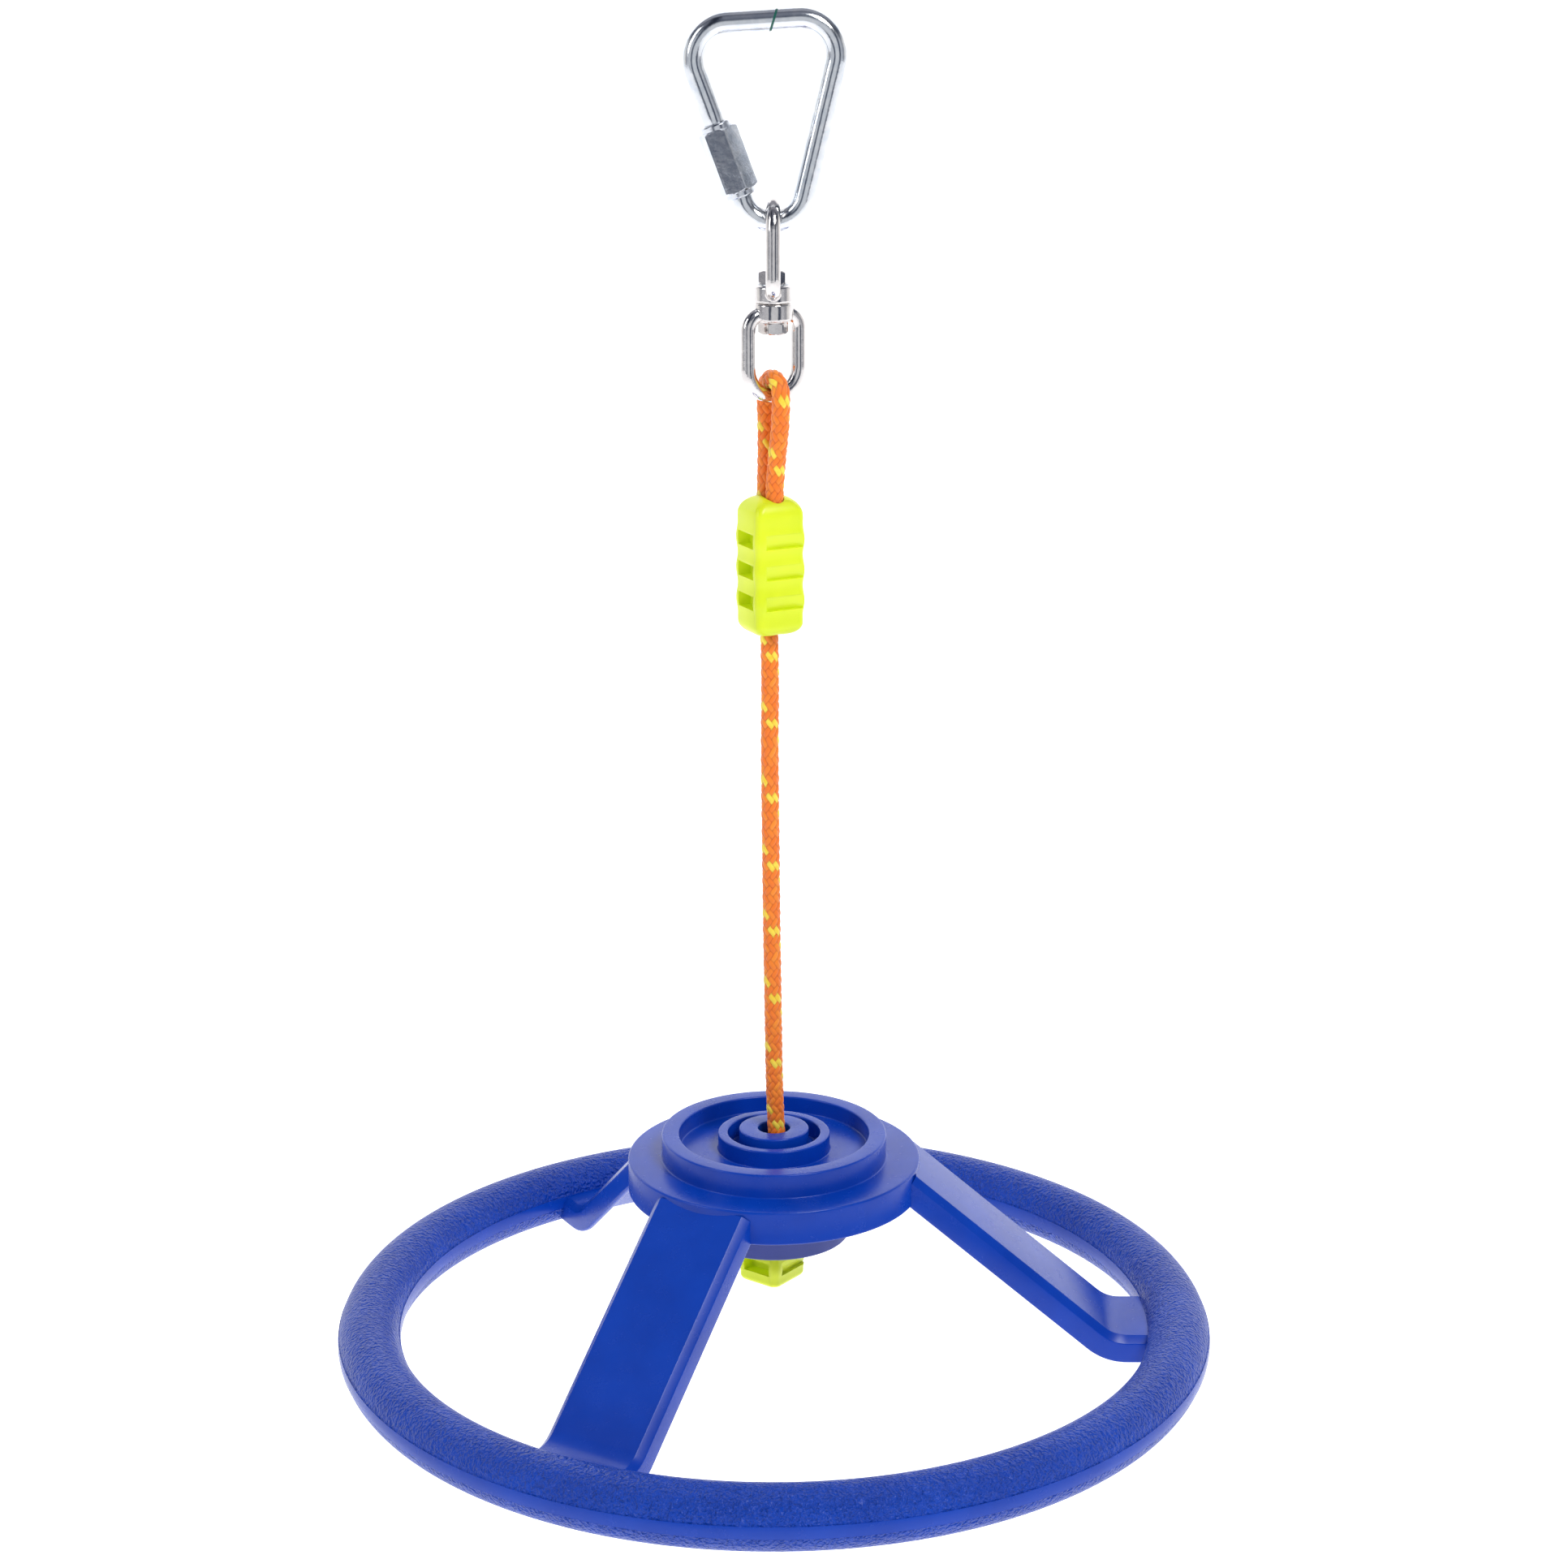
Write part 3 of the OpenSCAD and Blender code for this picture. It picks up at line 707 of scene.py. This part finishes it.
top = HOUSING_TOP_Z
upper_housing = fillet([(0, top, 0), (5.6, top, 0.3), (7.2, top - 0.9, 0.7), (7.2, top - 6.3, 0.3),
                        (6.8, top - 6.8, 0.2), (0, top - 6.8, 0)])
upper_eye = build_eye("swivel_eye_top", UPPER_BEND_Z, top + 3, 1, upper_housing, math.radians(90))
finish_piece(upper_eye, "upper_eye", ["swivel_upper_eye", "swivel_bottom_race"], "stainless", stainless)

neck_top = top - 7.1
lower_housing = fillet([(0, neck_top, 0), (6.9, neck_top, 0.2), (7.25, neck_top - 0.4, 0.3),
                        (7.25, neck_top - 6.0, 0.6), (6.0, neck_top - NECK_H, 0.4),
                        (0, neck_top - NECK_H, 0)])
lower_eye = build_eye("swivel_eye_bottom", LOWER_BEND_Z, neck_top - NECK_H - 3, -1, lower_housing, EYE_TURN)
finish_piece(lower_eye, "lower_eye", ["swivel_lower_eye"], "stainless", stainless)

head_place = Matrix.Translation((0, 0, neck_top - NECK_H - HEAD_H))
bolt_head = transform(hex_part("bolt_head", BOLT_AF, HEAD_H, 0.5, bevel=0.6, turn=math.radians(12)),
                      head_place)
shank_top = top + 7.2
shank_profile = fillet([(0, neck_top - 9, 0), (SHANK_R, neck_top - 9, 0), (SHANK_R, shank_top - 1.3, 0.4),
                        (1.9, shank_top - 0.1, 0.8), (0, shank_top, 0)])
shank = lathe("bolt_shank", shank_profile, segments=64, sharp_deg=35)
bolt = join("swivel_pin", [bolt_head, shank])
finish_piece(bolt, "lower_eye", ["swivel_bolt"], "stainless", stainless)

nut = transform(hex_part("pin_nut", BOLT_AF, NUT_H, SHANK_R, bevel=0.6, turn=math.radians(20)),
                Matrix.Translation((0, 0, top)))
finish_piece(nut, "lower_eye", ["swivel_nut"], "stainless", stainless)

washer_profile = fillet([(SHANK_R, top - 0.9, 0), (6.1, top - 0.9, 0), (6.1, top + 0.25, 0.2),
                         (SHANK_R, top + 0.25, 0)])
washer = lathe("pin_washer", washer_profile, segments=96, sharp_deg=35)
finish_piece(washer, "lower_eye", ["swivel_top_race"], "bearing_steel", race_steel)

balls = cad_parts["swivel_balls"]
balls.data.materials.clear()
balls.data.materials.append(race_steel)


# --------------------------------------------------------------------------------------------------
# Connectors
# --------------------------------------------------------------------------------------------------
CONNECTOR_W, CONNECTOR_SIDE, CONNECTOR_H = 20.0, 19.0, 53.0
SEAM_Y = -6.6
WINDOW_PITCH, WINDOW_H, WINDOW_W = 11.8, 5.5, 12.5
SHOULDER_R, CORNER_R = 7.0, 2.5
UPPER_DROP, UPPER_LOW_R = 1.5, 4.5
LOWER_DROP, LOWER_LOW_R = 6.7, 2.2
RECESS_START, RECESS_DEPTH = 3.5, 1.5
BORE_W, BORE_L, BORE_CORNER_R = 7.3, 14.5, 3.5
WALL, SEAM_GAP, SWELL = 1.6, 0.06, 0.5
UPPER_CONNECTOR_Z = -223.5
# The hub plate's underside above the wheel's middle, and the play between it and the stopper
PLATE_UNDER, REST_GAP = 72.0, 0.3


def rounded_rect(w, d, r, per_corner=8):
    points = []
    for cx, cy, start in ((1, 1, 0), (-1, 1, 90), (-1, -1, 180), (1, -1, 270)):
        for s in range(per_corner + 1):
            a = math.radians(start + 90 * s / per_corner)
            points.append((cx * (w / 2 - r) + r * math.cos(a), cy * (d / 2 - r) + r * math.sin(a)))
    return points


def block(name, size, place):
    """A plain cutting block, used for holes and taken away afterwards."""
    x, y, z = (s / 2 for s in size)
    corners = [(-x, -y, -z), (x, -y, -z), (x, y, -z), (-x, y, -z)]
    corners += [(-x, -y, z), (x, -y, z), (x, y, z), (-x, y, z)]
    faces = [(0, 3, 2, 1), (4, 5, 6, 7), (0, 1, 5, 4), (1, 2, 6, 5), (2, 3, 7, 6), (3, 0, 4, 7)]
    return transform(add_object(name, corners, faces, False), place)


def cut(obj, cutter, operation="DIFFERENCE"):
    modifier = obj.modifiers.new("cut", "BOOLEAN")
    modifier.operation = operation
    modifier.solver = "EXACT"
    modifier.object = cutter
    apply_modifiers(obj)
    bpy.data.objects.remove(cutter)


def prism(name, outline, z0, z1):
    """An upright prism over a list of (x, y) points."""
    n = len(outline)
    vertices = [(x, y, z0) for x, y in outline] + [(x, y, z1) for x, y in outline]
    faces = [(k, (k + 1) % n, n + (k + 1) % n, n + k) for k in range(n)]
    faces += [tuple(reversed(range(n))), tuple(range(n, 2 * n))]
    return add_object(name, vertices, faces, False)


def recess_block(name, place):
    """The wedge cut out of a face: nothing at its top edge, deepest at the ledge below."""
    top, low = WINDOW_H / 2, -WINDOW_H / 2
    section = [(-2.0, top), (0.0, top), (RECESS_DEPTH, low), (-2.0, low)]
    vertices = [(0.0, y, z) for y, z in section] + [(CONNECTOR_W, y, z) for y, z in section]
    faces = [(0, 1, 2, 3), (7, 6, 5, 4), (0, 4, 5, 1), (1, 5, 6, 2), (2, 6, 7, 3), (3, 7, 4, 0)]
    return transform(add_object(name, vertices, faces, False), place)


def connector_shell(name, drop, low_r):
    """The whole moulding before it is split, with its windows, recesses and bore.

    Its top and lower edges are rounded, and its sides swell a little at each window.
    """
    middle = CONNECTOR_H / 2 - drop

    def quarter(r):
        steps = [math.pi / 2 * s / 14 for s in range(15)]
        return [(r * (1 - math.cos(a)), r * (1 - math.sin(a))) for a in steps]

    rings = quarter(low_r)
    count = 36
    for s in range(1, count):
        z = low_r + (CONNECTOR_H - SHOULDER_R - low_r) * s / count
        wave = (1 + math.cos(2 * math.pi * (z - middle) / WINDOW_PITCH)) / 2
        fade = min(1.0, (z - low_r) / 4, (CONNECTOR_H - SHOULDER_R - z) / 4)
        rings.append((z, -SWELL * wave * fade))
    rings += [(CONNECTOR_H - z, inset) for z, inset in reversed(quarter(SHOULDER_R))]
    vertices, faces = [], []
    for z, inset in rings:
        corner = min(CORNER_R + 0.35 * max(inset, 0.0), CONNECTOR_SIDE / 2 - inset - 0.05)
        for x, y in rounded_rect(CONNECTOR_W - 2 * inset, CONNECTOR_SIDE - 2 * inset, corner):
            vertices.append((x, y, z))
    per = len(vertices) // len(rings)
    for i in range(len(rings) - 1):
        for k in range(per):
            m = (k + 1) % per
            faces.append((i * per + k, i * per + m, (i + 1) * per + m, (i + 1) * per + k))
    faces.append(tuple(reversed(range(per))))
    faces.append(tuple((len(rings) - 1) * per + k for k in range(per)))
    shell = add_object(name, vertices, faces)
    depth = (CONNECTOR_W - BORE_W) / 2 - WALL
    for i in (-1, 0, 1):
        z = middle + i * WINDOW_PITCH
        for side in (-1, 1):
            place = Matrix.Translation((side * (CONNECTOR_W / 2 + 1 - depth / 2), 0, z))
            cut(shell, block("window", (depth + 2, WINDOW_W, WINDOW_H), place))
        for turn in (0, math.pi):
            place = (Matrix.Rotation(turn, 4, "Z")
                     @ Matrix.Translation((-CONNECTOR_W / 2 + RECESS_START, -CONNECTOR_SIDE / 2, z)))
            cut(shell, recess_block("recess", place))
    cut(shell, prism("bore", rounded_rect(BORE_W, BORE_L, BORE_CORNER_R), -1, CONNECTOR_H + 1))
    return shell


def split_at_seam(source, name, keep_body):
    """One side of the seam, with a small bevel along every crisp edge."""
    piece = source.copy()
    piece.data = source.data.copy()
    piece.name = name
    bpy.context.scene.collection.objects.link(piece)
    if keep_body:
        place = Matrix.Translation((0, SEAM_Y + SEAM_GAP + 20, CONNECTOR_H / 2))
    else:
        place = Matrix.Translation((0, SEAM_Y - SEAM_GAP - 20, CONNECTOR_H / 2))
    cut(piece, block("half", (60, 40, CONNECTOR_H + 20), place), "INTERSECT")
    bevel = piece.modifiers.new("bevel", "BEVEL")
    bevel.width = 0.28 * MM
    bevel.segments = 3
    bevel.limit_method = "ANGLE"
    bevel.angle_limit = math.radians(40)
    apply_modifiers(piece)
    shade(piece, True, 45)
    return piece


def place_connector(prefix, place, cad_prefix, drop, low_r):
    shell = connector_shell(prefix + "_shell", drop, low_r)
    for suffix, keep_body in (("body", True), ("cover", False)):
        piece = split_at_seam(shell, prefix + "_" + suffix, keep_body)
        transform(piece, place)
        finish_piece(piece, "rope_and_connectors", [cad_prefix + "_" + suffix], "lime_plastic", lime)
    bpy.data.objects.remove(shell)


STOPPER_Z = WHEEL_Z + PLATE_UNDER - REST_GAP - CONNECTOR_H
upper_place = Matrix.Translation((*UPPER_CENTRE, UPPER_CONNECTOR_Z)) @ Matrix.Rotation(EYE_TURN, 4, "Z")
lower_place = Matrix.Translation((*LOWER_CENTRE, STOPPER_Z)) @ Matrix.Rotation(LOWER_TURN, 4, "Z")
place_connector("clamp_top", upper_place, "upper_connector", UPPER_DROP, UPPER_LOW_R)
place_connector("clamp_bottom", lower_place, "lower_connector", LOWER_DROP, LOWER_LOW_R)


# --------------------------------------------------------------------------------------------------
# Wheel
# --------------------------------------------------------------------------------------------------
hub_profile = fillet([
    (58.0, 72.0, 1.0), (58.0, 58.5, 0.8), (55.0, 58.5, 0.5), (55.0, 69.0, 1.0), (30.0, 69.0, 1.0),
    (30.0, 39.5, 0.8), (27.0, 39.5, 0.6), (27.0, 72.0, 0.6), (6.3, 72.0, 0.3), (6.3, 83.8, 0.8),
    (13.8, 83.8, 0.7), (13.8, 75.0, 0.5), (18.3, 75.0, 0.5), (18.3, 82.1, 0.7), (22.2, 82.1, 0.7),
    (22.2, 75.0, 0.6), (37.7, 75.0, 0.8), (37.7, 81.8, 0.7), (44.6, 81.8, 0.8), (44.6, 72.0, 0.6),
])
# The socket's matt surfaces lie below and within these
SOCKET_INSIDE_Z, SOCKET_INSIDE_R = 68.5, 31.0
hub = lathe("wheel_hub", hub_profile, z0=WHEEL_Z, segments=256)
finish_piece(hub, "wheel", ["hub_plate", "hub_collar", "hub_ring", "hub_boss", "hub_skirt", "hub_socket"],
             "blue_gloss", blue_gloss, blue_socket)
for polygon in hub.data.polygons:
    c = polygon.center / MM
    if c.z < WHEEL_Z + SOCKET_INSIDE_Z and math.hypot(c.x, c.y) < SOCKET_INSIDE_R:
        polygon.material_index = 1

SPOKE_START, SPOKE_ROOT, SPOKE_KNEE, SPOKE_END = 56.0, 57.0, 136.0, 153.0
SPOKE_TOP, LANDING = 69.5, 2.0
SPOKE_T, SPOKE_HALF, SPOKE_SKIN, KNEE_R = 11.0, 21.0, 3.6, 14.0
slope = math.atan((SPOKE_TOP - LANDING) / (SPOKE_KNEE - SPOKE_ROOT))


def spoke_section():
    """The cross-section as (across, up) points: a bevelled channel that is open below."""
    half = fillet([
        (0, 0, 0), (SPOKE_HALF - 2.8, 0, 0.5), (SPOKE_HALF, -2.6, 0.7), (SPOKE_HALF, -SPOKE_T, 1.2),
        (18.2, -SPOKE_T, 0.8), (18.0, -SPOKE_SKIN, 1.0), (0, -SPOKE_SKIN, 0),
    ], closed=False)
    return half + [(-x, z) for x, z in reversed(half[1:-1])]


def build_spoke(name, azimuth, node):
    section = spoke_section()
    start = Vector((SPOKE_START, SPOKE_TOP + (SPOKE_ROOT - SPOKE_START) * math.tan(slope)))
    knee = Vector((SPOKE_KNEE, LANDING))
    end = Vector((SPOKE_END, LANDING))
    path = [tuple(start + (knee - start) * s / 10) for s in range(9)]
    path += fillet([(*start, 0), (*knee, KNEE_R), (*end, 0)], closed=False, steps=12)[1:-1]
    path += [(SPOKE_END - 6, LANDING), (SPOKE_END, LANDING)]
    path = [Vector(p) for p in path]
    path = [p for i, p in enumerate(path) if i == 0 or p.x > path[i - 1].x + 0.05]
    vertices, faces = [], []
    for i, p in enumerate(path):
        a, b = path[max(i - 1, 0)], path[min(i + 1, len(path) - 1)]
        way = (b - a).normalized()
        up = Vector((-way.y, way.x))
        for across, height in section:
            at = p + up * height
            vertices.append((at.x, across, at.y + WHEEL_Z))
    n = len(section)
    for i in range(len(path) - 1):
        for k in range(n):
            m = (k + 1) % n
            faces.append((i * n + k, i * n + m, (i + 1) * n + m, (i + 1) * n + k))
    faces.append(tuple(range(n)))
    faces.append(tuple((len(path) - 1) * n + k for k in reversed(range(n))))
    spoke = add_object(name, vertices, faces, True, 50)
    transform(spoke, Matrix.Rotation(math.radians(azimuth), 4, "Z"))
    finish_piece(spoke, "wheel", [node], "blue_gloss", blue_gloss)


build_spoke("wheel_spoke_right", 0, "spoke_right")
build_spoke("wheel_spoke_rear", 120, "spoke_rear_left")
build_spoke("wheel_spoke_front", 240, "spoke_front_left")

BAND_HALF, BAND_PROUD = 2.5, 0.28


def rim_profile():
    """The tube's section: a round whose skin lies a little lower than its outside and inside bands."""
    points = []
    edge = math.degrees(math.asin(BAND_HALF / RIM_TUBE_R))
    for centre in (0, 180):
        for s in range(-3, 4):
            a = math.radians(centre + edge * s / 3)
            points.append((RIM_R + RIM_TUBE_R * math.cos(a), RIM_TUBE_R * math.sin(a)))
        for s in range(41):
            a = math.radians(centre + edge + 0.6 + (180 - 2 * edge - 1.2) * s / 40)
            r = RIM_TUBE_R - BAND_PROUD
            points.append((RIM_R + r * math.cos(a), r * math.sin(a)))
    return points


rim = lathe("wheel_rim", rim_profile(), z0=WHEEL_Z, segments=384, sharp_deg=30)
finish_piece(rim, "wheel", ["rim"], "blue_grain", blue_grain, blue_gloss)
for polygon in rim.data.polygons:
    if abs(polygon.center.z / MM - WHEEL_Z) < BAND_HALF * 0.99:
        polygon.material_index = 1


# --------------------------------------------------------------------------------------------------
# Floor, backdrop and lights
# --------------------------------------------------------------------------------------------------
def pale_material(name, colour, glow):
    material, nodes, links, shader = new_material(name)
    coords = object_coords(nodes)
    tone = ramp(nodes, links, noise(nodes, links, coords, 0.8, 2.0),
                [(0.0, tuple(c * 0.99 for c in colour)), (1.0, colour)])
    links.new(tone, shader.inputs["Base Color"])
    links.new(tone, shader.inputs["Emission Color"])
    shader.inputs["Emission Strength"].default_value = glow
    shader.inputs["Roughness"].default_value = 0.9
    return material


FLOOR_Z, FLOOR_NEAR_Y, FLOOR_HALF_W = -1500.0, -4000.0, 7000.0
SWEEP_Y, SWEEP_R, SWEEP_STEPS, WALL_TOP_Z = 1500.0, 2500.0, 24, 5000.0
sweep_line = [(FLOOR_NEAR_Y, FLOOR_Z), (SWEEP_Y, FLOOR_Z)]
for s in range(1, SWEEP_STEPS + 1):
    a = math.pi / 2 * s / SWEEP_STEPS
    sweep_line.append((SWEEP_Y + SWEEP_R * math.sin(a), FLOOR_Z + SWEEP_R * (1 - math.cos(a))))
sweep_line.append((SWEEP_Y + SWEEP_R, WALL_TOP_Z))
floor_vertices = [(x, y, z) for y, z in sweep_line for x in (-FLOOR_HALF_W, FLOOR_HALF_W)]
floor_faces = [(2 * i, 2 * i + 1, 2 * i + 3, 2 * i + 2) for i in range(len(sweep_line) - 1)]
floor = add_object("floor", floor_vertices, floor_faces)
floor.data.materials.append(pale_material("floor_paint", (0.96, 0.96, 0.96), 0.85))

world = bpy.data.worlds.new("studio")
world.use_nodes = True
world_nodes, world_links = world.node_tree.nodes, world.node_tree.links
WHITE, BLACK, DARK_BAND = (1, 1, 1), (0, 0, 0), (0.10, 0.12, 0.17)
sky = world_nodes.new("ShaderNodeTexCoord")
sky_axes = world_nodes.new("ShaderNodeSeparateXYZ")
world_links.new(sky.outputs["Generated"], sky_axes.inputs["Vector"])


def from_end_to_end(axis):
    """0 at one end of the world along an axis, and 1 at the other."""
    node = world_nodes.new("ShaderNodeMapRange")
    node.inputs["From Min"].default_value = -1.0
    world_links.new(sky_axes.outputs[axis], node.inputs["Value"])
    return node.outputs["Result"]


def darken(colour, by, factor):
    """colour multiplied by another, as far as factor says."""
    node = world_nodes.new("ShaderNodeMix")
    node.data_type = "RGBA"
    node.blend_type = "MULTIPLY"
    if isinstance(factor, float):
        node.inputs["Factor"].default_value = factor
    else:
        world_links.new(factor, node.inputs["Factor"])
    world_links.new(colour, node.inputs["A"])
    world_links.new(by, node.inputs["B"])
    return node.outputs["Result"]


depth = from_end_to_end("Y")
depth_tone = ramp(world_nodes, world_links, depth,
                  [(0.0, (0.72, 0.74, 0.78)), (0.25, (0.55, 0.57, 0.62)), (0.42, (0.30, 0.31, 0.35)),
                   (0.56, (0.95, 0.95, 0.95))])
height_tone = ramp(world_nodes, world_links, from_end_to_end("Z"),
                   [(0.0, WHITE), (0.62, WHITE), (0.74, (0.12, 0.14, 0.19)), (1.0, (0.45, 0.46, 0.52))])
bands = ramp(world_nodes, world_links, from_end_to_end("X"),
             [(0.26, WHITE), (0.30, DARK_BAND), (0.38, DARK_BAND), (0.43, WHITE),
              (0.72, WHITE), (0.76, DARK_BAND), (0.84, DARK_BAND), (0.88, WHITE)])
in_front = ramp(world_nodes, world_links, depth, [(0.36, WHITE), (0.48, BLACK)])
sky_tone = darken(darken(depth_tone, height_tone, 1.0), bands, in_front)
world_links.new(sky_tone, world_nodes["Background"].inputs["Color"])
world_nodes["Background"].inputs["Strength"].default_value = 1.0
bpy.context.scene.world = world


def area_light(name, location, target, size, power):
    data = bpy.data.lights.new(name, "AREA")
    data.shape = "RECTANGLE"
    data.size, data.size_y = size
    data.energy = power
    obj = bpy.data.objects.new(name, data)
    obj.location = location
    obj.rotation_euler = (Vector(target) - Vector(location)).to_track_quat("-Z", "Y").to_euler()
    bpy.context.scene.collection.objects.link(obj)


area_light("key", (1.0, -1.3, 1.5), (0, 0, -0.4), (0.9, 0.9), 36)
area_light("fill", (-1.6, -0.8, 0.7), (0, 0, -0.4), (0.5, 1.2), 9)
